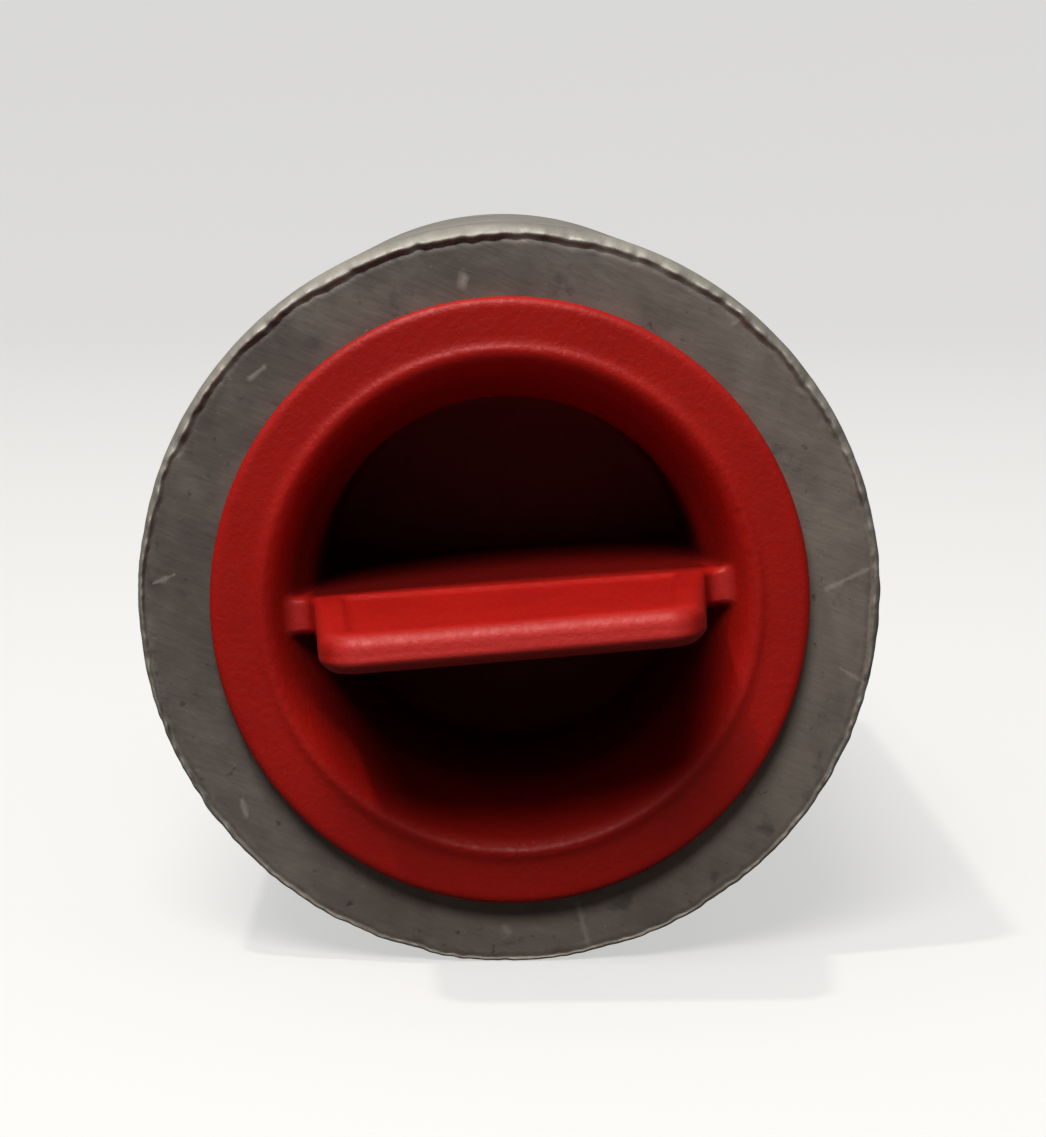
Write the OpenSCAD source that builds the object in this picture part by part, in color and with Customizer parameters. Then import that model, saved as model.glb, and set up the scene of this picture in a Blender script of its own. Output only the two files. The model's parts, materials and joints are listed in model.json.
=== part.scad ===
// Threaded coupler sleeve for reinforcing bar, closed at both ends by centre-pull plugs.
// The sleeve lies on its side: its axis is Y, its front end faces -Y and +Z is up.
// The origin is the middle of the sleeve, on its axis.

/* [Sleeve] */
// Outside diameter of the sleeve
sleeve_d = 48; // [42:0.5:60]
// Length of the sleeve between its sawn ends
sleeve_len = 72; // [60:1:110]
// Diameter at the crests of the internal thread
bore_d = 29.21; // [24:0.01:31]
// Radial depth of the countersink outside the bore
sink_depth = 2.9; // [1.5:0.1:3.2]
// Bevel on the outer edge of each end
sleeve_edge = 0.6; // [0.1:0.1:1.5]

/* [Plug flange] */
// How far the flange reaches past the countersink
flange_lap = 2.3; // [1.2:0.1:3.2]
// Thickness of the flange
flange_t = 1.6; // [1:0.1:3]
// Bevel on the flange's outer edge
flange_edge = 0.45; // [0.1:0.05:0.8]
// Depth of the bevelled lip at the mouth of the cup
lip_h = 0.6; // [0.3:0.1:1]
// Width of the bevelled lip at the mouth of the cup
lip_w = 0.9; // [0.3:0.1:1.2]

/* [Plug cup] */
// Wall of the cup
cup_wall = 1.6; // [1.2:0.1:2.4]
// Depth that the plug reaches into the sleeve
cup_depth = 20; // [14:1:26]
// Depth of the mouth's slope below the flange's face
mouth_depth = 4.9; // [4:0.1:6]
// How far the mouth's slope opens between the well and the lip
mouth_flare = 2.7; // [1.8:0.1:2.9]
// Thickness of the cup's floor
floor_t = 1.5; // [1:0.1:3]
// Narrowing of the cup's radius from the countersink to the floor
cup_draft = 0.35; // [0:0.05:0.8]
// Radial clearance between the cup and the crests of the thread
cup_clearance = 0.25; // [0.15:0.05:0.6]
// Clearance between the plug's cone and the countersink
sink_clearance = 0.3; // [0.2:0.05:0.6]
// Number of grip rings round the cup
ring_count = 3; // [1:1:4]
// Radial clearance between the grip rings and the crests of the thread
ring_clearance = 0.1; // [0.05:0.01:0.15]
// Width of one grip ring
ring_w = 0.8; // [0.4:0.1:1.5]

/* [Pull tab] */
// Thickness of the tab and of the web that carries it
tab_t = 2.5; // [1.6:0.1:4]
// Width of the shoulder that the web leaves on each side of the tab
shoulder_w = 2.9; // [1.5:0.1:6]
// Narrowing of the tab on each side from its foot to its free end
tab_taper = 1; // [0:0.1:3]
// Height of the tab above the flange's face
tab_h = 12; // [6:0.5:16]
// Radius of the tab's two free corners
tab_corner = 2.2; // [0.5:0.1:4]
// Width of the raised rim round the tab's free edges
tab_rim = 1.9; // [1:0.1:4]
// How far the tab's panel lies below that rim on each side
panel_sink = 0.3; // [0.1:0.05:0.6]
// Distance from the flange's face down to the web's front edge
web_drop = 0.7; // [0.6:0.1:1.3]
// Turn of the front plug in its bore
front_turn = 4; // [-180:1:180]
// Turn of the rear plug in its bore
rear_turn = 86; // [-180:1:180]

/* [Hidden] */
$fn = 128;

sleeve_r = sleeve_d / 2;
bore_r = bore_d / 2;
half_len = sleeve_len / 2;
sink_r = bore_r + sink_depth;          // the countersink is cut at 45 degrees
flange_r = sink_r + flange_lap;

// The cone lies parallel to the countersink, and the clearance is measured square to both.
sink_gap = sink_clearance * sqrt(2);
cone_top_r = sink_r - sink_gap;
cup_r = bore_r - cup_clearance;        // outside of the cup at the foot of the cone
cone_h = cone_top_r - cup_r;
tip_r = cup_r - cup_draft;             // outside of the cup at its floor
cup_in_r = cup_r - cup_wall;
tip_in_r = tip_r - cup_wall;
well_z = flange_t - mouth_depth;       // where the mouth's slope meets the straight well
lip_in_r = cup_in_r + mouth_flare;
lip_out_r = lip_in_r + lip_w;
ring_r = bore_r - ring_clearance;
ring_first = cone_h + 2.5 * ring_w;    // depth of the ring nearest the mouth
ring_pitch = (cup_depth - ring_first - 3 * ring_w) / max(ring_count - 1, 1);

web_top = flange_t - web_drop;
web_half_w = lip_in_r + cup_wall / 4;
web_foot_half_w = tip_in_r + cup_wall / 2;
tab_top = flange_t + tab_h;
tab_foot_half_w = lip_in_r - shoulder_w;
tab_tip_half_w = tab_foot_half_w - tab_taper;

// Half section of the sleeve, drawn with its axis upright.
module sleeve_section() {
  polygon([
    [bore_r, -half_len + sink_depth],
    [sink_r, -half_len],
    [sleeve_r - sleeve_edge, -half_len],
    [sleeve_r, -half_len + sleeve_edge],
    [sleeve_r, half_len - sleeve_edge],
    [sleeve_r - sleeve_edge, half_len],
    [sink_r, half_len],
    [bore_r, half_len - sink_depth]
  ]);
}

module coupler_sleeve() {
  color("dimgray")
    rotate([90, 0, 0])
      rotate_extrude()
        sleeve_section();
}

// Half section of the plug. Zero is the plane of the sleeve's end, and +Z points out of it.
module plug_section() {
  polygon([
    [0, -cup_depth],
    [tip_r, -cup_depth],
    [cup_r, -cone_h],
    [cone_top_r, 0],
    [flange_r, 0],
    [flange_r, flange_t - flange_edge],
    [flange_r - flange_edge, flange_t],
    [lip_out_r, flange_t],
    [lip_in_r, flange_t - lip_h],
    [cup_in_r, well_z],
    [tip_in_r, floor_t - cup_depth],
    [0, floor_t - cup_depth]
  ]);
}

// One grip ring, cut from the same axis as the cup so that it stands in the cup's wall.
module grip_ring(depth) {
  translate([0, 0, -depth])
    rotate_extrude()
      translate([cup_in_r + cup_wall / 2, -ring_w / 2])
        square([ring_r - cup_in_r - cup_wall / 2, ring_w]);
}

// Outline of the web and tab, drawn flat and stood up through the plug's axis.
module web_outline() {
  polygon([
    [-web_foot_half_w, -cup_depth + floor_t / 2],
    [web_foot_half_w, -cup_depth + floor_t / 2],
    [cup_in_r + cup_wall / 2, well_z],
    [web_half_w, web_top],
    [-web_half_w, web_top],
    [-cup_in_r - cup_wall / 2, well_z]
  ]);
}

// The square outside one free corner of the tab, less the circle that rounds the corner.
module corner_waste(side) {
  difference() {
    translate([side * tab_tip_half_w, tab_top])
      square(2 * tab_corner, center = true);
    translate([side * (tab_tip_half_w - tab_corner), tab_top - tab_corner])
      circle(tab_corner);
  }
}

module tab_outline() {
  difference() {
    polygon([
      [-tab_foot_half_w, web_top - tab_t],
      [tab_foot_half_w, web_top - tab_t],
      [tab_foot_half_w, web_top],
      [tab_tip_half_w, tab_top],
      [-tab_tip_half_w, tab_top],
      [-tab_foot_half_w, web_top]
    ]);
    corner_waste(-1);
    corner_waste(1);
  }
}

// Outline of the sunk panel, a rim's width inside the tab's free edges.
module panel_outline() {
  polygon([
    [-tab_foot_half_w + tab_rim, web_top],
    [tab_foot_half_w - tab_rim, web_top],
    [tab_tip_half_w - tab_rim, tab_top - tab_rim],
    [-tab_tip_half_w + tab_rim, tab_top - tab_rim]
  ]);
}

// The web and tab as one plate, with the tab's panel sunk on both sides.
module tab_plate() {
  difference() {
    linear_extrude(tab_t, center = true) {
      web_outline();
      tab_outline();
    }
    for (side = [-1, 1])
      translate([0, 0, side * tab_t / 2])
        linear_extrude(2 * panel_sink, center = true)
          panel_outline();
  }
}

module plug() {
  color("red") {
    rotate_extrude()
      plug_section();
    for (i = [0 : ring_count - 1])
      grip_ring(ring_first + i * ring_pitch);
    rotate([90, 0, 0])
      tab_plate();
  }
}

module front_plug() {
  translate([0, -half_len, 0])
    rotate([90, 0, 0])
      rotate([0, 0, front_turn])
        plug();
}

module rear_plug() {
  translate([0, half_len, 0])
    rotate([-90, 0, 0])
      rotate([0, 0, rear_turn])
        plug();
}

coupler_sleeve();
front_plug();
rear_plug();
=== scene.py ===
import json
import math
import bpy
import numpy as np
from mathutils import Matrix, Vector, noise


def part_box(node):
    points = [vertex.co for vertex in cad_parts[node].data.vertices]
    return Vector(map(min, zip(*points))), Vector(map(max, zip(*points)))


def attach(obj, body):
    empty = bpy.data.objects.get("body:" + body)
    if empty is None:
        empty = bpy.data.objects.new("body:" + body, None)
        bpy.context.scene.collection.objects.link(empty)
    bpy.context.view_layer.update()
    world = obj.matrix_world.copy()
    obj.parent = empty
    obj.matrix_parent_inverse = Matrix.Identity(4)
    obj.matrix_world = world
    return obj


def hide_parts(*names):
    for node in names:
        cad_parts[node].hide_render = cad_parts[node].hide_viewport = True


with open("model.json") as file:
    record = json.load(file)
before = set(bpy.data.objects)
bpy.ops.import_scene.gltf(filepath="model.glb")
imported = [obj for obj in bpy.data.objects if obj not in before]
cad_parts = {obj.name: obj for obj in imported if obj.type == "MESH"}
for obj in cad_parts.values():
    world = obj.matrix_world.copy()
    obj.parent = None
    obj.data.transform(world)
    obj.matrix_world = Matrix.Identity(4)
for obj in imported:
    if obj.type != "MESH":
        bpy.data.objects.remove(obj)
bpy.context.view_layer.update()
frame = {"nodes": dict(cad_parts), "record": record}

# ---------------------------------------------------------------------------------------------
# Camera
# A short lens held close to the front end, a little above the sleeve's axis and a touch to its
# left, so that the mouth fills the frame and a sliver of the top of the sleeve shows behind it.
MM = 0.001
sleeve_low, sleeve_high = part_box("coupler_sleeve")
front_y = sleeve_low.y
rear_y = sleeve_high.y

CAMERA_REACH = 180 * MM          # from the middle of the front mouth
CAMERA_RISE = math.radians(8.3)
CAMERA_LEFT = math.radians(0.5)
FRAME_HEIGHT = 73.1 * MM         # what the frame's height spans at the front mouth
AIM_RIGHT = 0.84 * MM            # the point at the frame's centre, from the middle of the mouth
AIM_UP = 1.95 * MM

mouth = Vector((0, front_y, 0))
look = Vector((
    -math.sin(CAMERA_LEFT) * math.cos(CAMERA_RISE),
    -math.cos(CAMERA_LEFT) * math.cos(CAMERA_RISE),
    math.sin(CAMERA_RISE),
))
camera_data = bpy.data.cameras.new("mouth_camera")
camera_data.sensor_width = 36
camera_data.lens = 36 * CAMERA_REACH / FRAME_HEIGHT
camera_data.clip_start = 1 * MM
camera = bpy.data.objects.new("mouth_camera", camera_data)
camera.location = mouth + look * CAMERA_REACH
aim = mouth + Vector((AIM_RIGHT, 0, AIM_UP))
camera.rotation_euler = (aim - camera.location).to_track_quat("-Z", "Y").to_euler()
bpy.context.collection.objects.link(camera)
bpy.context.scene.camera = camera
bpy.context.scene.view_settings.view_transform = "Standard"
bpy.context.scene.view_settings.gamma = 0.87

# ---------------------------------------------------------------------------------------------
# Studio
# A pale dished floor that rises at its rim, a soft panel half way up in front, weak light from
# all sides but dark straight in front, so that the cup stays black inside, and one small lamp high
# up, just in front of the sawn face, that grazes it.
FLOOR_RADIUS = 1.6
FLOOR_RIM_HEIGHT = 0.8
FLOOR_RIM_START = 0.75


def floor_height(radius):
    """The floor is flat in the middle and curls up in a quarter ellipse at its rim."""
    along = max(0.0, (radius - FLOOR_RIM_START) / (FLOOR_RADIUS - FLOOR_RIM_START))
    return FLOOR_RIM_HEIGHT * (1 - math.sqrt(max(0.0, 1 - along * along)))


floor_rings = [FLOOR_RIM_START * i / 3 for i in range(1, 4)]
floor_rings += [FLOOR_RIM_START + (FLOOR_RADIUS - FLOOR_RIM_START) * math.sin(i / 16 * math.pi / 2)
                for i in range(1, 17)]
FLOOR_SPOKES = 96
floor_points = [(0, 0, sleeve_low.z)]
for radius in floor_rings:
    for spoke in range(FLOOR_SPOKES):
        turn = 2 * math.pi * spoke / FLOOR_SPOKES
        floor_points.append((radius * math.cos(turn), radius * math.sin(turn),
                             sleeve_low.z + floor_height(radius)))
floor_faces = [(0, 1 + s, 1 + (s + 1) % FLOOR_SPOKES) for s in range(FLOOR_SPOKES)]
for ring in range(len(floor_rings) - 1):
    inner = 1 + ring * FLOOR_SPOKES
    outer = inner + FLOOR_SPOKES
    for s in range(FLOOR_SPOKES):
        after = (s + 1) % FLOOR_SPOKES
        floor_faces.append((inner + s, outer + s, outer + after, inner + after))
floor_mesh = bpy.data.meshes.new("studio_floor")
floor_mesh.from_pydata(floor_points, [], floor_faces)
floor_mesh.shade_smooth()
studio_floor = bpy.data.objects.new("studio_floor", floor_mesh)
bpy.context.collection.objects.link(studio_floor)

# The floor looks pale and even, but throws back as little light as a dark bench would.
floor_paint = bpy.data.materials.new("floor_paint")
floor_paint.use_nodes = True
nodes, links = floor_paint.node_tree.nodes, floor_paint.node_tree.links
nodes.clear()
shaded = nodes.new("ShaderNodeBsdfDiffuse")
shaded.inputs["Color"].default_value = (0.30, 0.30, 0.30, 1)
even = nodes.new("ShaderNodeEmission")
even.inputs["Color"].default_value = (1.0, 1.0, 0.99, 1)
even.inputs["Strength"].default_value = 0.60
pale = nodes.new("ShaderNodeAddShader")
dark = nodes.new("ShaderNodeBsdfDiffuse")
dark.inputs["Color"].default_value = (0.10, 0.095, 0.09, 1)
ray = nodes.new("ShaderNodeLightPath")
mix = nodes.new("ShaderNodeMixShader")
floor_out = nodes.new("ShaderNodeOutputMaterial")
links.new(shaded.outputs["BSDF"], pale.inputs[0])
links.new(even.outputs["Emission"], pale.inputs[1])
links.new(ray.outputs["Is Camera Ray"], mix.inputs["Fac"])
links.new(dark.outputs["BSDF"], mix.inputs[1])
links.new(pale.outputs["Shader"], mix.inputs[2])
links.new(mix.outputs["Shader"], floor_out.inputs["Surface"])
floor_mesh.materials.append(floor_paint)

world = bpy.data.worlds.new("studio_world")
world.use_nodes = True
sky = world.node_tree
background = sky.nodes["Background"]
background.inputs["Color"].default_value = (1.0, 0.97, 0.93, 1)
direction = sky.nodes.new("ShaderNodeTexCoord").outputs["Generated"]
split_sky = sky.nodes.new("ShaderNodeSeparateXYZ")
sky.links.new(direction, split_sky.inputs[0])


def sky_share(axis, low, high, at_low, at_high):
    """How strong the sky is along one axis: a smooth step between two levels."""
    step = sky.nodes.new("ShaderNodeMapRange")
    step.interpolation_type = "SMOOTHSTEP"
    for label, value in (("From Min", low), ("From Max", high),
                         ("To Min", at_low), ("To Max", at_high)):
        step.inputs[label].default_value = value
    sky.links.new(split_sky.outputs[axis], step.inputs["Value"])
    return step.outputs["Result"]


sky_strength = sky_share("Y", -0.75, -0.40, 0.01, 0.50)
for share in (sky_share("Y", 0.0, 0.6, 1.0, 0.6), sky_share("Z", -1.0, 1.0, 0.35, 1.25),
              sky_share("X", -1.0, 1.0, 1.25, 0.75)):
    times = sky.nodes.new("ShaderNodeMath")
    times.operation = "MULTIPLY"
    sky.links.new(sky_strength, times.inputs[0])
    sky.links.new(share, times.inputs[1])
    sky_strength = times.outputs[0]
sky.links.new(sky_strength, background.inputs["Strength"])
bpy.context.scene.world = world


def studio_lamp(name, toward, distance, size, watts, colour):
    """A round lamp that stands in that direction from the mouth and faces it."""
    data = bpy.data.lights.new(name, "AREA")
    data.shape = "DISK"
    data.size = size
    data.energy = watts
    data.color = colour
    lamp = bpy.data.objects.new(name, data)
    lamp.location = mouth + toward.normalized() * distance
    lamp.rotation_euler = toward.to_track_quat("Z", "Y").to_euler()
    bpy.context.collection.objects.link(lamp)


studio_lamp("grazing_lamp", Vector((-0.32, -0.20, 0.95)), 0.75, 0.04, 2.0, (1.0, 0.97, 0.93))
studio_lamp("front_panel", Vector((-0.14, -0.66, 0.78)), 0.85, 0.40, 5.9, (1.0, 0.97, 0.94))

# ---------------------------------------------------------------------------------------------
# Coupler sleeve
# A length of thick-walled steel bar stock, sawn off square, bored through, countersunk and tapped
# with a metric bar thread from both ends. The saw leaves fine slanting marks and a ragged burr.
thread_mounts = {m["name"]: m for m in frame["record"]["mounts"]}
CREST_R = thread_mounts["front_bar_thread"]["dims"]["r_mm"] * MM
THREAD_PITCH = 3.5 * MM
ROOT_R = 16.5 * MM
SINK_DEPTH = 2.9 * MM
SLEEVE_R = sleeve_high.z - 0.02 * MM     # the crown of the side wall, before its own roughness
HALF_LENGTH = rear_y
SINK_R = CREST_R + SINK_DEPTH

EDGE_COLUMNS = 720
BORE_COLUMNS = 144
SIDE_RINGS = 26
RIM_BAND = 0.55 * MM                     # how far the saw's tearing reaches down the side wall


def ragged(turn, end, size, seed):
    """Smooth noise round the axis, from -1 to 1, with lumps of about that size in metres."""
    reach = SLEEVE_R / size
    return noise.noise(Vector((reach * math.cos(turn), reach * math.sin(turn), seed + 7 * end)))


def burr_height(turn, end):
    """The saw drags a burr over the upper half of the edge and leaves the lower half cleaner."""
    lean = 0.5 + 0.5 * math.sin(turn - 0.35)
    body = 0.02 + 0.30 * lean + 0.18 * ragged(turn, end, 5 * MM, 3)
    lumps = 0.24 * ragged(turn, end, 1.6 * MM, 11) + 0.18 * ragged(turn, end, 0.6 * MM, 19)
    return max(0.0, body + lumps) * MM


def end_rings(turn, end):
    """Radius and depth of each ring of one sawn end, from the countersink to the side wall."""
    burr = burr_height(turn, end)
    roll = 0.20 * MM * ragged(turn, end, 2.5 * MM, 29) + 0.13 * MM * ragged(turn, end, 0.7 * MM, 53)
    tear = 0.30 * MM * ragged(turn, end, 1.1 * MM, 37) + 0.20 * MM * ragged(turn, end, 4 * MM, 41)
    # The edge is broken wide at the top, less at the sides and hardly at all at the bottom.
    broken = (0.62 + 0.36 * math.sin(turn)) * MM - roll
    root = SLEEVE_R - broken
    bevel = 0.45 * broken
    return [
        (SINK_R + 1.2 * MM, 0.0),
        (SINK_R + 2.6 * MM, 0.0),
        (SINK_R + 3.9 * MM, 0.0),
        (root - 0.45 * MM, 0.0),
        (root - 0.14 * MM, 0.02 * MM),
        (root - 0.02 * MM, 0.09 * MM),
        (root + 0.16 * broken, 0.02 * MM - 0.55 * burr),
        (root + 0.34 * broken, 0.10 * bevel - burr),
        (root + 0.52 * broken, 0.34 * bevel - 0.80 * burr),
        (SLEEVE_R - 0.24 * broken + 0.3 * roll, 0.62 * bevel - 0.3 * burr),
        (SLEEVE_R - 0.07 * MM, 0.30 * MM + bevel + tear),
        (SLEEVE_R - 0.03 * MM, RIM_BAND + bevel + 1.6 * tear),
        (SLEEVE_R - 0.01 * MM, RIM_BAND * 2.2 + bevel + 1.6 * tear),
    ]


shell_points = []
shell_faces = []
shell_finish = []
SIDE, SAWN = 0, 1


def add_ring(columns, place):
    """Adds one ring of points round the axis and returns their numbers."""
    first = len(shell_points)
    for column in range(columns):
        turn = 2 * math.pi * column / columns
        radius, y = place(turn)
        shell_points.append((radius * math.cos(turn), y, radius * math.sin(turn)))
    return list(range(first, first + columns))


def join_rings(first, second, finish):
    """Joins two rings, where the second may have a whole multiple of the first's points."""
    step = len(second) // len(first)
    for i, point in enumerate(first):
        after = first[(i + 1) % len(first)]
        fan = [second[(i * step + k) % len(second)] for k in range(step + 1)]
        if step == 1:
            shell_faces.append((point, fan[0], fan[1], after))
            shell_finish.append(finish)
            continue
        middle = step // 2
        for k in range(step):
            if k == middle:
                shell_faces.append((point, fan[k], fan[k + 1], after))
            else:
                shell_faces.append((point if k < middle else after, fan[k], fan[k + 1]))
            shell_finish.append(finish)


def side_place(turn, share):
    """The side wall is as the mill left it: round to a few hundredths of a millimetre."""
    y = -HALF_LENGTH + 3 * MM + share * (2 * HALF_LENGTH - 6 * MM)
    wave = noise.noise(Vector((6 * math.cos(turn), 6 * math.sin(turn), y / (5 * MM))))
    return SLEEVE_R - 0.02 * MM + 0.02 * MM * wave, y


RING_COUNT = len(end_rings(0.0, -1))
edge_table = {
    end: [end_rings(2 * math.pi * column / EDGE_COLUMNS, end) for column in range(EDGE_COLUMNS)]
    for end in (-1, 1)
}


def end_place(end, number):
    """The place of one ring of an end, read from the table for that end."""
    def place(turn):
        column = round(turn / (2 * math.pi) * EDGE_COLUMNS) % EDGE_COLUMNS
        radius, depth = edge_table[end][column][number]
        return radius, end * (HALF_LENGTH - depth)
    return place


SAWN_RINGS = 8                             # the rings that lie on the saw cut; the rest roll over
front_rim = add_ring(BORE_COLUMNS, lambda turn: (SINK_R, -HALF_LENGTH))
rings = [add_ring(EDGE_COLUMNS, end_place(-1, n)) for n in range(RING_COUNT)]
rings += [add_ring(EDGE_COLUMNS, lambda turn, s=n / (SIDE_RINGS - 1): side_place(turn, s))
          for n in range(SIDE_RINGS)]
rings += [add_ring(EDGE_COLUMNS, end_place(1, n)) for n in reversed(range(RING_COUNT))]
rear_rim = add_ring(BORE_COLUMNS, lambda turn: (SINK_R, HALF_LENGTH))

join_rings(front_rim, rings[0], SAWN)
for n in range(len(rings) - 1):
    from_end = min(n, len(rings) - 2 - n)
    join_rings(rings[n], rings[n + 1], SAWN if from_end < SAWN_RINGS - 1 else SIDE)
backwards = len(shell_faces)
join_rings(rear_rim, rings[-1], SAWN)
for n in range(backwards, len(shell_faces)):
    shell_faces[n] = tuple(reversed(shell_faces[n]))

shell_mesh = bpy.data.meshes.new("sleeve_shell")
shell_mesh.from_pydata(shell_points, [], shell_faces)
shell_mesh.polygons.foreach_set("material_index", shell_finish)
shell_mesh.shade_smooth()
sleeve_shell = bpy.data.objects.new("sleeve_shell", shell_mesh)
bpy.context.collection.objects.link(sleeve_shell)


def group_socket(tree, name, kind, direction, value=None):
    """Adds one named socket to a node group."""
    socket = tree.interface.new_socket(name=name, in_out=direction, socket_type=kind)
    if value is not None:
        socket.default_value = value
    return socket


def mathnode(tree, operation, first, second=None, third=None, clamp=False):
    """One maths node, fed by sockets or by plain numbers, and its result."""
    node = tree.nodes.new("ShaderNodeMath")
    node.operation = operation
    node.use_clamp = clamp
    for slot, value in enumerate((first, second, third)):
        if value is None:
            continue
        if isinstance(value, (int, float)):
            node.inputs[slot].default_value = value
        else:
            tree.links.new(value, node.inputs[slot])
    return node.outputs[0]


def ramp(tree, value, start, stop):
    """A mask that runs from 0 to 1 as a value goes from start to stop."""
    gain = 1 / (stop - start)
    return mathnode(tree, "MULTIPLY_ADD", value, gain, -start * gain, clamp=True)


def split_axes(tree, vector):
    """The X, Y and Z of a vector, as sockets."""
    node = tree.nodes.new("ShaderNodeSeparateXYZ")
    tree.links.new(vector, node.inputs[0])
    return node.outputs


def axis_distance(tree, at):
    """How far a spot lies from the sleeve's axis, from its X and Z."""
    return mathnode(tree, "SQRT", mathnode(
        tree, "ADD", mathnode(tree, "MULTIPLY", at["X"], at["X"]),
        mathnode(tree, "MULTIPLY", at["Z"], at["Z"])))


# The tapped bore. A sheet of points is rolled into a tube whose rows climb by one pitch a turn,
# so that every crest and root is an unbroken helix, and the ends are cut to the countersinks.
ROWS_PER_PITCH = 16
THREAD_TURNS = 22

thread_tree = bpy.data.node_groups.new("tapped_bore", "GeometryNodeTree")
group_socket(thread_tree, "Geometry", "NodeSocketGeometry", "INPUT")
for name, value in (("Crest Radius", CREST_R), ("Root Radius", ROOT_R), ("Pitch", THREAD_PITCH),
                    ("Half Length", HALF_LENGTH), ("Countersink Depth", SINK_DEPTH)):
    group_socket(thread_tree, name, "NodeSocketFloat", "INPUT", value)
group_socket(thread_tree, "Thread Finish", "NodeSocketMaterial", "INPUT")
group_socket(thread_tree, "Geometry", "NodeSocketGeometry", "OUTPUT")

given = thread_tree.nodes.new("NodeGroupInput").outputs
sheet = thread_tree.nodes.new("GeometryNodeMeshGrid")
sheet.inputs["Size X"].default_value = 1
sheet.inputs["Size Y"].default_value = 1
sheet.inputs["Vertices X"].default_value = BORE_COLUMNS + 1
sheet.inputs["Vertices Y"].default_value = ROWS_PER_PITCH * THREAD_TURNS + 1
place = thread_tree.nodes.new("GeometryNodeInputPosition")
on_sheet = split_axes(thread_tree, place.outputs[0])


def calc(operation, first, second=None, clamp=False):
    """One maths node in the thread's group."""
    return mathnode(thread_tree, operation, first, second, clamp=clamp)


round_share = calc("ADD", on_sheet["X"], 0.5)
turns_along = calc("MULTIPLY", on_sheet["Y"], THREAD_TURNS)
angle = calc("MULTIPLY", round_share, 2 * math.pi)
climb = calc("ADD", turns_along, calc("SUBTRACT", round_share, 0.5))
free_y = calc("MULTIPLY", climb, given["Pitch"])
low_y = calc("MULTIPLY", given["Half Length"], -1)
along = calc("MINIMUM", calc("MAXIMUM", free_y, low_y), given["Half Length"])
phase = calc("FRACT", calc("ADD", turns_along, 0.5))
from_root = calc("ABSOLUTE", calc("SUBTRACT", phase, 0.5))
ROOT_SHARE = 1 / 16                        # half of the flat at the root, in pitches
FLANK_SHARE = 5 / 16                       # one flank, in pitches
up_flank = calc("DIVIDE", calc("SUBTRACT", from_root, ROOT_SHARE), FLANK_SHARE, clamp=True)
thread_depth = calc("SUBTRACT", given["Root Radius"], given["Crest Radius"])
thread_r = calc("SUBTRACT", given["Root Radius"], calc("MULTIPLY", up_flank, thread_depth))
inward = calc("SUBTRACT", given["Half Length"], calc("ABSOLUTE", along))
sink_r = calc("ADD", given["Crest Radius"],
              calc("SUBTRACT", given["Countersink Depth"], inward))
radius = calc("MAXIMUM", thread_r, sink_r)
rolled = thread_tree.nodes.new("ShaderNodeCombineXYZ")
thread_tree.links.new(calc("MULTIPLY", radius, calc("COSINE", angle)), rolled.inputs["X"])
thread_tree.links.new(along, rolled.inputs["Y"])
thread_tree.links.new(calc("MULTIPLY", radius, calc("SINE", angle)), rolled.inputs["Z"])
roll_up = thread_tree.nodes.new("GeometryNodeSetPosition")
thread_tree.links.new(sheet.outputs["Mesh"], roll_up.inputs["Geometry"])
thread_tree.links.new(rolled.outputs[0], roll_up.inputs["Position"])
facing = thread_tree.nodes.new("GeometryNodeFlipFaces")
thread_tree.links.new(roll_up.outputs[0], facing.inputs["Mesh"])
smooth = thread_tree.nodes.new("GeometryNodeSetShadeSmooth")
thread_tree.links.new(facing.outputs[0], smooth.inputs["Geometry"])
marked = thread_tree.nodes.new("GeometryNodeCaptureAttribute")
marked.domain = "FACE"
marked.capture_items.new("BOOLEAN", "Tapped")
marked.inputs["Tapped"].default_value = True
thread_tree.links.new(smooth.outputs[0], marked.inputs["Geometry"])
joined = thread_tree.nodes.new("GeometryNodeJoinGeometry")
thread_tree.links.new(given["Geometry"], joined.inputs[0])
thread_tree.links.new(marked.outputs["Geometry"], joined.inputs[0])
welded = thread_tree.nodes.new("GeometryNodeMergeByDistance")
welded.inputs["Distance"].default_value = 0.004 * MM
thread_tree.links.new(joined.outputs[0], welded.inputs["Geometry"])
real = thread_tree.nodes.new("GeometryNodeRealizeInstances")
thread_tree.links.new(welded.outputs[0], real.inputs["Geometry"])
finish = thread_tree.nodes.new("GeometryNodeSetMaterial")
thread_tree.links.new(real.outputs[0], finish.inputs["Geometry"])
thread_tree.links.new(marked.outputs["Tapped"], finish.inputs["Selection"])
thread_tree.links.new(given["Thread Finish"], finish.inputs["Material"])
thread_out = thread_tree.nodes.new("NodeGroupOutput")
thread_tree.links.new(finish.outputs[0], thread_out.inputs[0])


# Four shared effects, each a node group: streaks left by a tool, blotches of stain or dirt, the
# bright worn metal round the two outer edges, and a single scratch or knock.
def shader_group(name, inputs, outputs):
    """Starts a shader node group with those sockets and returns it with its two end nodes."""
    tree = bpy.data.node_groups.new(name, "ShaderNodeTree")
    for label, kind, value in inputs:
        group_socket(tree, label, kind, "INPUT", value)
    for label, kind in outputs:
        group_socket(tree, label, kind, "OUTPUT")
    return tree, tree.nodes.new("NodeGroupInput").outputs, tree.nodes.new("NodeGroupOutput").inputs


FLOAT, VECTOR = "NodeSocketFloat", "NodeSocketVector"

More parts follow.
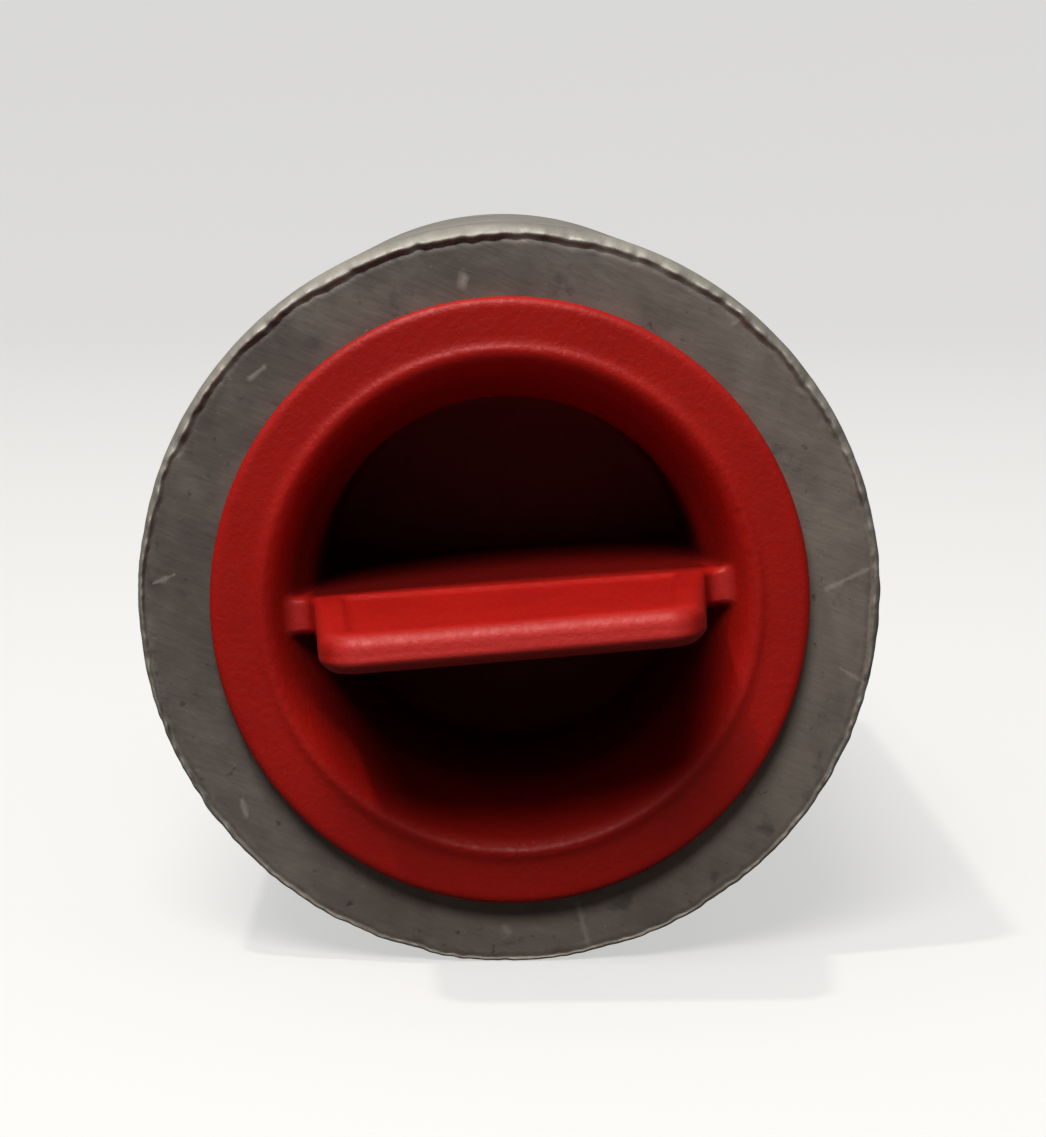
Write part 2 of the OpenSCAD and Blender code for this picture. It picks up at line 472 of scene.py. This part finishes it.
streaks, given, result = shader_group(
    "tool_streaks",
    [("Vector", VECTOR, None), ("Slant", FLOAT, 0.0), ("Across", FLOAT, 3000.0),
     ("Along", FLOAT, 120.0)],
    [("Lines", FLOAT)])
turned = streaks.nodes.new("ShaderNodeVectorRotate")
turned.rotation_type = "Y_AXIS"
streaks.links.new(given["Vector"], turned.inputs["Vector"])
streaks.links.new(given["Slant"], turned.inputs["Angle"])
stretch = streaks.nodes.new("ShaderNodeCombineXYZ")
streaks.links.new(given["Along"], stretch.inputs["X"])
streaks.links.new(given["Along"], stretch.inputs["Y"])
streaks.links.new(given["Across"], stretch.inputs["Z"])
scaled = streaks.nodes.new("ShaderNodeVectorMath")
scaled.operation = "MULTIPLY"
streaks.links.new(turned.outputs[0], scaled.inputs[0])
streaks.links.new(stretch.outputs[0], scaled.inputs[1])
lines = streaks.nodes.new("ShaderNodeTexNoise")
lines.inputs["Scale"].default_value = 1
lines.inputs["Detail"].default_value = 3
lines.inputs["Roughness"].default_value = 0.6
streaks.links.new(scaled.outputs[0], lines.inputs["Vector"])
streaks.links.new(lines.outputs["Fac"], result["Lines"])

blotches, given, result = shader_group(
    "stain_blotches",
    [("Vector", VECTOR, None), ("Size", FLOAT, 300.0), ("Low", FLOAT, 0.4), ("High", FLOAT, 0.6)],
    [("Mask", FLOAT)])
cloud = blotches.nodes.new("ShaderNodeTexNoise")
cloud.inputs["Detail"].default_value = 5
cloud.inputs["Roughness"].default_value = 0.62
cloud.inputs["Distortion"].default_value = 0.3
blotches.links.new(given["Vector"], cloud.inputs["Vector"])
blotches.links.new(given["Size"], cloud.inputs["Scale"])
level = blotches.nodes.new("ShaderNodeMapRange")
level.interpolation_type = "SMOOTHSTEP"
blotches.links.new(cloud.outputs["Fac"], level.inputs["Value"])
blotches.links.new(given["Low"], level.inputs["From Min"])
blotches.links.new(given["High"], level.inputs["From Max"])
blotches.links.new(level.outputs["Result"], result["Mask"])

edge_wear, given, result = shader_group(
    "edge_wear",
    [("Vector", VECTOR, None), ("Radius", FLOAT, SLEEVE_R), ("Half Length", FLOAT, HALF_LENGTH),
     ("Width", FLOAT, 1 * MM)],
    [("Mask", FLOAT)])
at = split_axes(edge_wear, given["Vector"])
from_side = mathnode(edge_wear, "SUBTRACT", given["Radius"], axis_distance(edge_wear, at))
from_end = mathnode(edge_wear, "SUBTRACT", given["Half Length"],
                    mathnode(edge_wear, "ABSOLUTE", at["Y"]))
nearer = mathnode(edge_wear, "MAXIMUM", from_side, from_end)
uneven = edge_wear.nodes.new("ShaderNodeTexNoise")
uneven.inputs["Scale"].default_value = 800
uneven.inputs["Detail"].default_value = 4
uneven.inputs["Roughness"].default_value = 0.65
edge_wear.links.new(given["Vector"], uneven.inputs["Vector"])
patchy = mathnode(edge_wear, "MULTIPLY_ADD", uneven.outputs["Fac"], 4.5, -1.45, clamp=True)
reach = mathnode(edge_wear, "MULTIPLY", given["Width"],
                 mathnode(edge_wear, "MULTIPLY_ADD", patchy, 1.1, 0.12))
worn = mathnode(edge_wear, "SUBTRACT", 1.0,
                mathnode(edge_wear, "DIVIDE", nearer, reach), clamp=True)
edge_wear.links.new(mathnode(edge_wear, "MULTIPLY", worn, patchy), result["Mask"])

# The scratch takes in the spots that lie within a wandering width of the line between two points.
scratch, given, result = shader_group(
    "scratch",
    [("Vector", VECTOR, None), ("Start", VECTOR, None), ("Stop", VECTOR, None),
     ("Width", FLOAT, 0.2 * MM)],
    [("Mask", FLOAT)])


def aim(operation, first, second=None):
    """One vector node in the scratch group."""
    node = scratch.nodes.new("ShaderNodeVectorMath")
    node.operation = operation
    scratch.links.new(first, node.inputs[0])
    if second is not None:
        scratch.links.new(second, node.inputs[1])
    return node


wander = scratch.nodes.new("ShaderNodeTexNoise")
wander.inputs["Scale"].default_value = 1200
wander.inputs["Detail"].default_value = 3
scratch.links.new(given["Vector"], wander.inputs["Vector"])
across = aim("SUBTRACT", given["Vector"], given["Start"]).outputs["Vector"]
run = aim("SUBTRACT", given["Stop"], given["Start"]).outputs["Vector"]
share = mathnode(scratch, "DIVIDE", aim("DOT_PRODUCT", across, run).outputs["Value"],
                 aim("DOT_PRODUCT", run, run).outputs["Value"], clamp=True)
reached = aim("SCALE", run)
scratch.links.new(share, reached.inputs["Scale"])
stray = aim("LENGTH", aim("SUBTRACT", across, reached.outputs["Vector"]).outputs["Vector"])
width = mathnode(scratch, "MULTIPLY", given["Width"],
                 mathnode(scratch, "MULTIPLY_ADD", wander.outputs["Fac"], 3.6, -0.9, clamp=False))
scratch.links.new(
    mathnode(scratch, "SUBTRACT", 1.0,
             mathnode(scratch, "DIVIDE", stray.outputs["Value"],
                      mathnode(scratch, "MAXIMUM", width, 0.01 * MM)), clamp=True),
    result["Mask"])


def new_material(name):
    """An empty material with one Principled shader, whose plain numbers are set on its sockets."""
    material = bpy.data.materials.new(name)
    material.use_nodes = True
    tree = material.node_tree
    tree.nodes.clear()
    shader = tree.nodes.new("ShaderNodeBsdfPrincipled")
    out = tree.nodes.new("ShaderNodeOutputMaterial")
    tree.links.new(shader.outputs["BSDF"], out.inputs["Surface"])
    where = tree.nodes.new("ShaderNodeTexCoord")
    return material, tree, shader, where.outputs["Object"]


def use_group(tree, group, vector, **values):
    """Places a shared effect in a material with its own values, and returns its first output."""
    node = tree.nodes.new("ShaderNodeGroup")
    node.node_tree = group
    tree.links.new(vector, node.inputs["Vector"])
    for label, value in values.items():
        node.inputs[label.replace("_", " ")].default_value = value
    return node.outputs[0]


def blend_colour(tree, share, first, second, amount=1.0):
    """Mixes two colours, each a socket or a plain colour, by a mask times an amount."""
    node = tree.nodes.new("ShaderNodeMix")
    node.data_type = "RGBA"
    tree.links.new(mathnode(tree, "MULTIPLY", share, amount, clamp=True), node.inputs["Factor"])
    for slot, value in ((6, first), (7, second)):
        if isinstance(value, tuple):
            node.inputs[slot].default_value = (*value, 1)
        else:
            tree.links.new(value, node.inputs[slot])
    return node.outputs[2]


def raise_bump(tree, shader, height, distance, under=None):
    """Adds relief of that height in metres, over an earlier one where there is one."""
    node = tree.nodes.new("ShaderNodeBump")
    node.inputs["Distance"].default_value = distance
    tree.links.new(height, node.inputs["Height"])
    if under is not None:
        tree.links.new(under, node.inputs["Normal"])
    tree.links.new(node.outputs["Normal"], shader.inputs["Normal"])
    return node.outputs["Normal"]


# The sawn ends: a dull mottled brown-grey, with fine marks that slope down to the right, some
# dark smudges, and a few knocks and scratches that show bright metal.
SAW_SLANT = math.radians(-22)
sawn_steel, tree, shader, spot = new_material("sawn_steel")
fine = use_group(tree, streaks, spot, Slant=SAW_SLANT, Across=2300.0, Along=420.0)
bands = use_group(tree, streaks, spot, Slant=SAW_SLANT, Across=700.0, Along=190.0)
stains = use_group(tree, blotches, spot, Size=190.0, Low=0.36, High=0.66)
mottle = use_group(tree, blotches, spot, Size=760.0, Low=0.34, High=0.68)
smudges = use_group(tree, blotches, spot, Size=430.0, Low=0.60, High=0.74)
specks = use_group(tree, blotches, spot, Size=1300.0, Low=0.63, High=0.72)
flecks = use_group(tree, blotches, spot, Size=1650.0, Low=0.67, High=0.75)
colour = blend_colour(tree, stains, (0.256, 0.220, 0.194), (0.344, 0.304, 0.265))
colour = blend_colour(tree, mottle, colour, (0.35, 0.31, 0.27), 0.45)
# Painted shade: the cut is darkened over its left and upper parts, less where it is stained.
SAWN_SHADE_AT_AXIS, SAWN_SHADE_RIGHTWARD, SAWN_SHADE_UPWARD = 0.45, -26.0, 22.0     # the last two for each metre
at = split_axes(tree, spot)
sawn_painted_shade = mathnode(tree, "ADD", mathnode(tree, "MULTIPLY", at["X"], SAWN_SHADE_RIGHTWARD),
                 mathnode(tree, "MULTIPLY_ADD", at["Z"], SAWN_SHADE_UPWARD, SAWN_SHADE_AT_AXIS), clamp=True)
unstained = mathnode(tree, "MULTIPLY_ADD", stains, -0.35, 1.0)
colour = blend_colour(tree, mathnode(tree, "MULTIPLY", sawn_painted_shade, unstained), colour,
                      (0.10, 0.092, 0.085), 0.72)
colour = blend_colour(tree, fine, colour, (0.13, 0.115, 0.105), 0.20)
colour = blend_colour(tree, bands, colour, (0.32, 0.29, 0.27), 0.22)
colour = blend_colour(tree, smudges, colour, (0.105, 0.100, 0.105), 0.55)
colour = blend_colour(tree, specks, colour, (0.085, 0.072, 0.068), 0.65)
colour = blend_colour(tree, flecks, colour, (0.50, 0.42, 0.40), 0.6)
MARKS = (                                  # from and to, across and up, then the width, in mm
    (4.4, -20.1, 5.1, -22.8, 0.30), (20.4, 0.6, 23.1, 1.9, 0.26), (-22.9, 1.0, -21.5, 1.6, 0.24),
    (-3.0, 20.2, -2.9, 20.5, 0.42), (-0.4, -21.6, -0.2, -22.0, 0.50),
    (14.2, 17.6, 15.3, 18.3, 0.24), (21.4, -4.6, 23.0, -5.6, 0.18),
    (-16.5, 14.2, -15.6, 14.9, 0.22), (-17.4, -13.2, -17.1, -14.2, 0.26),
)
for x1, z1, x2, z2, width in MARKS:
    mark = use_group(tree, scratch, spot, Start=(x1 * MM, front_y, z1 * MM),
                     Stop=(x2 * MM, front_y, z2 * MM), Width=width * MM)
    colour = blend_colour(tree, mark, colour, (0.52, 0.48, 0.44), 0.6)
edge = use_group(tree, edge_wear, spot, Width=0.9 * MM)
colour = blend_colour(tree, edge, colour, (0.40, 0.38, 0.34), 0.7)
tree.links.new(colour, shader.inputs["Base Color"])
tree.links.new(mathnode(tree, "MULTIPLY_ADD", fine, 0.2, 0.45), shader.inputs["Roughness"])
shader.inputs["Metallic"].default_value = 0.45
relief = raise_bump(tree, shader, fine, 0.02 * MM)
raise_bump(tree, shader, bands, 0.05 * MM, relief)

# The side wall: bare mill-finished steel, brighter, with faint lengthwise draw marks.
mill_steel, tree, shader, spot = new_material("mill_steel")
cloudy = use_group(tree, blotches, spot, Size=170.0, Low=0.35, High=0.68)
rusty = use_group(tree, blotches, spot, Size=420.0, Low=0.60, High=0.78)
pits = use_group(tree, blotches, spot, Size=1100.0, Low=0.69, High=0.75)
along_y = tree.nodes.new("ShaderNodeMapping")
along_y.inputs["Scale"].default_value = (1, 0.05, 1)
tree.links.new(spot, along_y.inputs["Vector"])
drawn = tree.nodes.new("ShaderNodeTexNoise")
drawn.inputs["Scale"].default_value = 2600
drawn.inputs["Detail"].default_value = 3
tree.links.new(along_y.outputs[0], drawn.inputs["Vector"])
colour = blend_colour(tree, cloudy, (0.36, 0.345, 0.315), (0.47, 0.455, 0.42))
colour = blend_colour(tree, drawn.outputs["Fac"], colour, (0.22, 0.21, 0.19), 0.35)
colour = blend_colour(tree, rusty, colour, (0.33, 0.23, 0.17), 0.45)
colour = blend_colour(tree, pits, colour, (0.06, 0.05, 0.045), 0.9)
edge = use_group(tree, edge_wear, spot, Width=1.1 * MM)
colour = blend_colour(tree, edge, colour, (0.35, 0.33, 0.285), 0.8)
tree.links.new(colour, shader.inputs["Base Color"])
tree.links.new(mathnode(tree, "MULTIPLY_ADD", cloudy, 0.15, 0.52), shader.inputs["Roughness"])
shader.inputs["Metallic"].default_value = 0.45
relief = raise_bump(tree, shader, drawn.outputs["Fac"], 0.04 * MM)
raise_bump(tree, shader, mathnode(tree, "SUBTRACT", 1.0, pits), 0.15 * MM, relief)

# The thread and countersinks: freshly cut, still a little oily, with turned lines round the axis.
cut_steel, tree, shader, spot = new_material("cut_steel")
oily = use_group(tree, blotches, spot, Size=220.0, Low=0.35, High=0.7)
specks = use_group(tree, blotches, spot, Size=1500.0, Low=0.64, High=0.74)
colour = blend_colour(tree, oily, (0.40, 0.385, 0.365), (0.29, 0.27, 0.25))
colour = blend_colour(tree, specks, colour, (0.13, 0.11, 0.10), 0.6)
tree.links.new(colour, shader.inputs["Base Color"])
tree.links.new(mathnode(tree, "MULTIPLY_ADD", oily, 0.18, 0.26), shader.inputs["Roughness"])
shader.inputs["Metallic"].default_value = 0.85
raise_bump(tree, shader, use_group(tree, streaks, spot, Across=900.0, Along=900.0), 0.02 * MM)

shell_mesh.materials.append(mill_steel)
shell_mesh.materials.append(sawn_steel)
tap = sleeve_shell.modifiers.new("tapped_bore", "NODES")
tap.node_group = thread_tree
for item in thread_tree.interface.items_tree:
    if item.name == "Thread Finish":
        tap[item.identifier] = cut_steel
made = sleeve_shell.evaluated_get(bpy.context.evaluated_depsgraph_get())
sleeve_mesh = bpy.data.meshes.new_from_object(made)
sleeve_shell.modifiers.remove(tap)
bpy.data.objects.remove(sleeve_shell)
sleeve_mesh.name = "steel_sleeve"
steel_sleeve = bpy.data.objects.new("steel_sleeve", sleeve_mesh)
bpy.context.collection.objects.link(steel_sleeve)
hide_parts("coupler_sleeve")
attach(steel_sleeve, "sleeve")

# ---------------------------------------------------------------------------------------------
# Pull plugs
# Each is one injection moulding in red low-density polyethylene: a flange, a drafted cup with
# grip rings, and a web across the cup that rises into a pull tab. Its flange seats on the sleeve.
# Sizes here are in millimetres, with the sleeve's end at height 0 and the tab standing upwards.
FLANGE_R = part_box("front_plug")[1].z / MM
FLANGE_T = 1.6
FLANGE_ROUND = 0.5
FLANGE_FILLET = 0.25
PARTING_LINE = 0.10                      # how far the mould's parting seam stands proud
SEAM_AT = -0.42
SEAM_WIDTH = 0.22
TAB_TOP = (front_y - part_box("front_plug")[0].y) / MM - PARTING_LINE
CUP_DEPTH = (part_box("front_plug")[1].y - front_y) / MM
FLOOR_T = 1.5
FLOOR_ROUND = 0.9
CUP_WALL = 1.6
CUP_R = CREST_R / MM - 0.25
CUP_TIP_R = CUP_R - 0.35
CUP_TIP_ROUND = 0.7
CONE_TOP_R = SINK_R / MM - 0.3 * math.sqrt(2)
CONE_H = CONE_TOP_R - CUP_R
CONE_FILLET = 0.3
WELL_R = CUP_R - CUP_WALL
MOUTH_DEPTH = 4.9
MOUTH_FLARE = 2.5
MOUTH_BLEND = 0.5
LIP_H = 0.6
LIP_ROUND = 0.5
LIP_BEAD = 0.28
LIP_BEAD_R = 16.1
LIP_BEAD_W = 0.45
RING_R = CREST_R / MM - 0.1
RING_DEPTHS = (4.73, 11.16, 17.6)
RING_HALF_W = 0.4
RING_SWELL = 1.3                         # how much fuller than their height the rings are drawn
TAB_T = 2.5
WEB_TOP = FLANGE_T - 0.7
TAB_FOOT = 12.55
TAB_TIP = TAB_FOOT - 1.0
TAB_CORNER = 2.2
TAB_RIM = 1.9
PANEL_SINK = 0.3
PANEL_BLEND = 0.4
WEB_ROUND = 0.45
WEB_END_ROUND = 0.3
TAB_UPPER_ROUND = 1.0
TAB_LOWER_ROUND = 1.1
TAB_TWIST = math.radians(0.8)
TAB_DROOP = math.tan(math.radians(2.5))
SHOULDER_FILLET = 1.1
WEB_FILLET = 0.4
# The plug is soft: its flange has shrunk a little oval, and it hangs a little low in the bore.
FLANGE_OVAL = 1.022
SAG = 0.2


def round_and(first, second, radius):
    """Where two shapes overlap, with their shared edge rounded to that radius."""
    corner = np.hypot(np.maximum(first + radius, 0), np.maximum(second + radius, 0))
    return np.minimum(np.maximum(first, second), -radius) + corner


def round_or(first, second, radius):
    """Two shapes run together, with a fillet of that radius in the corner between them."""
    return -round_and(-first, -second, radius)


def plug_distance(points):
    """How far each point is from the plug's skin: below zero inside the plastic."""
    x, y, z = points.T
    out = np.hypot(x, y)
    draft = (CUP_R - CUP_TIP_R) / (CUP_DEPTH - CONE_H)

    # Outside: the cup's drafted wall, the cone that lies in the countersink, and the flange.
    wall = out - (CUP_R + draft * (z + CONE_H))
    for depth in RING_DEPTHS:
        bulge = (RING_R - CUP_R + draft * (depth - CONE_H)) * RING_SWELL
        wall = wall - bulge * np.exp(-((z + depth) / RING_HALF_W) ** 2)
    cone = (out - CONE_TOP_R - z) / math.sqrt(2)
    cup = round_or(wall, cone, CONE_FILLET)
    cup = round_and(cup, -z - CUP_DEPTH, CUP_TIP_ROUND)
    cup = np.maximum(cup, z - FLANGE_T / 2)
    oval = np.hypot(x * FLANGE_OVAL, y + SAG)
    bead = LIP_BEAD * np.exp(-((oval - LIP_BEAD_R) / LIP_BEAD_W) ** 2)
    face = np.abs(z - FLANGE_T / 2) - FLANGE_T / 2 - np.where(z > 0, bead, 0)
    flange = round_and(oval - FLANGE_R + SAG, face, FLANGE_ROUND)
    body = round_or(cup, flange, FLANGE_FILLET)

    # Inside: the drafted well, the steeper slope of the mouth, and the bevelled lip.
    well = out - (WELL_R + draft * (z + MOUTH_DEPTH - FLANGE_T))
    steep = MOUTH_FLARE / (MOUTH_DEPTH - LIP_H)
    slope = (oval - WELL_R - steep * (z + MOUTH_DEPTH - FLANGE_T)) / math.hypot(1, steep)
    hollow = np.minimum(well, slope)
    near = np.maximum(MOUTH_BLEND - np.abs(well - slope), 0) / MOUTH_BLEND
    hollow = hollow - near * near * MOUTH_BLEND / 4
    hollow = round_and(hollow, FLOOR_T - CUP_DEPTH - z, FLOOR_ROUND)
    shell = round_and(body, -hollow, LIP_ROUND)

    # The web and the tab are one plate, which droops and leans where it has been pulled.
    rise = np.clip((z - WEB_TOP) / (TAB_TOP - WEB_TOP), 0, 1)
    aside = y + SAG + TAB_DROOP * np.maximum(z - WEB_TOP, 0) - x * np.tan(TAB_TWIST * rise)
    web = round_and(cup + CUP_WALL / 2, z - WEB_TOP, WEB_END_ROUND)
    side = np.abs(x) - TAB_FOOT + (TAB_FOOT - TAB_TIP) * rise
    tab = round_and(side, z - TAB_TOP, TAB_CORNER)
    tab = np.maximum(tab, WEB_TOP - TAB_T - z)
    seam = PARTING_LINE * np.exp(-((aside - SEAM_AT) / SEAM_WIDTH) ** 2)
    outline = round_or(web, tab - seam * rise, SHOULDER_FILLET)

    # A thicker rim runs round the tab's free edges; the panel inside it lies a little lower.
    panel = np.maximum(side + TAB_RIM, z - TAB_TOP + TAB_RIM)
    panel = np.maximum(panel, WEB_TOP - z)
    sunk = np.clip(0.5 - panel / PANEL_BLEND, 0, 1)
    sunk = sunk * sunk * (3 - 2 * sunk)
    half_t = TAB_T / 2 - PANEL_SINK * sunk
    soft = np.clip(rise * 2.5, 0, 1)
    upper_round = WEB_ROUND + (TAB_UPPER_ROUND - WEB_ROUND) * soft
    lower_round = WEB_ROUND + (TAB_LOWER_ROUND - WEB_ROUND) * soft
    upper = round_and(outline, aside - half_t, upper_round)
    lower = round_and(outline, -aside - half_t, lower_round)
    plate = np.maximum(upper, lower)
    return round_or(shell, plate, WEB_FILLET)


def skin_normal(points):
    """The direction straight out of the plug's skin at each point."""
    step = 0.02
    slopes = [plug_distance(points + step * np.eye(3)[axis])
              - plug_distance(points - step * np.eye(3)[axis]) for axis in range(3)]
    slope = np.stack(slopes, axis=1)
    return slope / np.maximum(np.linalg.norm(slope, axis=1, keepdims=True), 1e-9)


def plug_place(end_y, direction, turn):
    """The matrix that seats a plug, drawn upright in millimetres, in one end of the sleeve."""
    upright = Matrix.Rotation(turn, 4, "Z")
    lay = Matrix.Rotation(math.radians(90 * direction), 4, "X")
    return Matrix.Translation((0, end_y, 0)) @ lay @ upright @ Matrix.Scale(MM, 4)


FRONT_TURN = math.radians(4)
REAR_TURN = math.radians(86)
front_place = plug_place(front_y, 1, FRONT_TURN)
rear_place = plug_place(rear_y, -1, REAR_TURN)

# The plain CAD plug is stood up, given an even skin, and drawn out to the moulding's rounded form.
SKIN_SIZE = 0.30
FIT_PASSES = 10
EVEN_PASSES = 7                          # of those, how many even out the skin first
blank_mesh = frame["nodes"]["front_plug"].data.copy()
blank_mesh.transform(front_place.inverted())
blank = bpy.data.objects.new("plug_blank", blank_mesh)
bpy.context.collection.objects.link(blank)
weld = blank.modifiers.new("weld", "WELD")
weld.merge_threshold = 0.001
skin = blank.modifiers.new("skin", "REMESH")
skin.mode = "VOXEL"
skin.voxel_size = SKIN_SIZE
skin.use_smooth_shade = True
plug_mesh = bpy.data.meshes.new_from_object(
    blank.evaluated_get(bpy.context.evaluated_depsgraph_get()))
bpy.data.objects.remove(blank)

points = np.empty(len(plug_mesh.vertices) * 3)
plug_mesh.vertices.foreach_get("co", points)
points = points.reshape(-1, 3)
ends = np.empty(len(plug_mesh.edges) * 2, dtype=int)
plug_mesh.edges.foreach_get("vertices", ends)
ends = ends.reshape(-1, 2)
shares = np.bincount(ends.ravel(), minlength=len(points)).reshape(-1, 1)


def relax(points):
    """Evens out the skin: each point moves half way to the middle of its neighbours."""
    total = np.zeros_like(points)
    for axis in range(3):
        total[:, axis] += np.bincount(ends[:, 0], points[ends[:, 1], axis], len(points))
        total[:, axis] += np.bincount(ends[:, 1], points[ends[:, 0], axis], len(points))
    return (points + total / shares) / 2


for turn in range(FIT_PASSES):
    if turn < EVEN_PASSES:
        points = relax(points)
    off = plug_distance(points).reshape(-1, 1)
    points = points - np.clip(off, -SKIN_SIZE, SKIN_SIZE) * skin_normal(points)
plug_mesh.vertices.foreach_set("co", points.ravel())
plug_mesh.update()
plug_mesh.shade_smooth()

# Red polyethylene: semi-gloss, slightly cloudy, and thin enough in the tab to glow a little.
red_plastic, tree, shader, spot = new_material("red_polyethylene")
cloudy = use_group(tree, blotches, spot, Size=150.0, Low=0.3, High=0.7)
grain = use_group(tree, blotches, spot, Size=2200.0, Low=0.35, High=0.65)
dust = use_group(tree, blotches, spot, Size=1300.0, Low=0.70, High=0.78)
colour = blend_colour(tree, cloudy, (0.40, 0.009, 0.005), (0.45, 0.012, 0.006))
colour = blend_colour(tree, grain, colour, (0.35, 0.007, 0.005), 0.3)
colour = blend_colour(tree, dust, colour, (0.55, 0.20, 0.16), 0.35)
# The faces of the tab's end and the web's front edge that look along the axis carry a painted
# highlight: a paler, pinker colour standing in for sheen. Heights here are from the sleeve's nearer
# end, outwards.
SHEEN_R = 15.5 * MM
at = split_axes(tree, spot)
skin_way = split_axes(tree, spot.node.outputs["Normal"])
height = mathnode(tree, "SUBTRACT", mathnode(tree, "ABSOLUTE", at["Y"]), HALF_LENGTH)
from_axis = axis_distance(tree, at)
endwise = ramp(tree, mathnode(tree, "ABSOLUTE", skin_way["Y"]), 0.6875, 1.0)
beyond = ramp(tree, height, -0.6 * MM, 0.3 * MM)
within = ramp(tree, from_axis, SHEEN_R, SHEEN_R - 0.4 * MM)
painted_sheen = mathnode(tree, "MULTIPLY", mathnode(tree, "MULTIPLY", beyond, within), endwise)
colour = blend_colour(tree, painted_sheen, colour, (0.62, 0.050, 0.045), 0.8)
# Painted shade: the recess is darkened below its rim, most on its left wall and least along its
# lower side.
RECESS_SHADE_AT_AXIS, RECESS_SHADE_RIGHTWARD = 0.62, -12.0           # the second for each metre
RECESS_SHADE_UPWARD, RECESS_SHADE_OFF_MIDDLE = 10.0, -1900.0         # for each metre, and for its square
RECESS_R = 13.2 * MM
outward = mathnode(tree, "DIVIDE", mathnode(
    tree, "ADD", mathnode(tree, "MULTIPLY", skin_way["X"], at["X"]),
    mathnode(tree, "MULTIPLY", skin_way["Z"], at["Z"])), from_axis)
walls = ramp(tree, outward, 0.0, -0.5)
bottom = ramp(tree, from_axis, RECESS_R, RECESS_R - 0.6 * MM)
below = ramp(tree, height, 0.9 * MM, -0.9 * MM)
by_height = mathnode(tree, "MULTIPLY", at["Z"], mathnode(
    tree, "MULTIPLY_ADD", at["Z"], RECESS_SHADE_OFF_MIDDLE, RECESS_SHADE_UPWARD))
spread = mathnode(tree, "ADD", mathnode(
    tree, "MULTIPLY_ADD", at["X"], RECESS_SHADE_RIGHTWARD, RECESS_SHADE_AT_AXIS), by_height, clamp=True)
recess_painted_shade = mathnode(tree, "MULTIPLY", mathnode(tree, "MAXIMUM", walls, bottom),
                 mathnode(tree, "MULTIPLY", below, spread))
colour = blend_colour(tree, recess_painted_shade, colour, (0.09, 0.002, 0.0015))
tree.links.new(colour, shader.inputs["Base Color"])
tree.links.new(mathnode(tree, "MULTIPLY_ADD", grain, 0.10, 0.42), shader.inputs["Roughness"])
shader.inputs["IOR"].default_value = 1.5
shader.inputs["Specular IOR Level"].default_value = 0.38
shader.inputs["Subsurface Weight"].default_value = 0.15
shader.inputs["Subsurface Radius"].default_value = (1.0, 0.15, 0.1)
shader.inputs["Subsurface Scale"].default_value = 1.2 * MM
raise_bump(tree, shader, grain, 0.012 * MM)
plug_mesh.materials.clear()
plug_mesh.materials.append(red_plastic)

for name, node, body, placed in (
        ("red_front_plug", "front_plug", "front_plug", front_place),
        ("red_rear_plug", "rear_plug", "rear_plug", rear_place)):
    moulding = bpy.data.objects.new(name, plug_mesh.copy())
    moulding.data.transform(placed)
    moulding.data.name = name
    bpy.context.collection.objects.link(moulding)
    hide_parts(node)
    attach(moulding, body)
